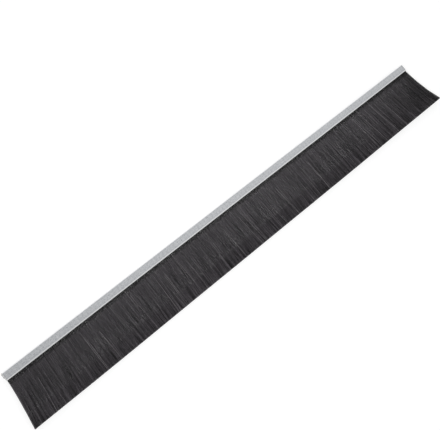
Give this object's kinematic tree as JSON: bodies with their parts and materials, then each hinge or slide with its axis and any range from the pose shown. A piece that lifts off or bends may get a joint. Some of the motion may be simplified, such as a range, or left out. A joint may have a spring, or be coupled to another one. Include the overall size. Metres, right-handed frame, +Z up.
{
  "type": "letterbox draught excluder brush strip",
  "caption": "Straight metal-backed brush strip: a folded steel channel with pinched lips grips a dense curtain of black filaments that seals a letter slot.",
  "frame": {"origin": "on the outer face of the channel's lower side wall, straight under the core wire's axis, at mid-length", "axes": "+X along the strip, -Y along the filaments to their tips, +Z up through both side walls from the surface that the strip lies on"},
  "size_m": [0.3385, 0.035, 0.0053],
  "materials": {
    "channel_steel": "bright galvanised, satin",
    "wire_steel": "drawn, bare cut ends",
    "filament_nylon": "black, slightly glossy along each filament"
  },
  "bodies": {
    "root": {"channel": "channel_steel", "core_wire": "wire_steel", "filaments": "filament_nylon"}
  },
  "joints": []
}
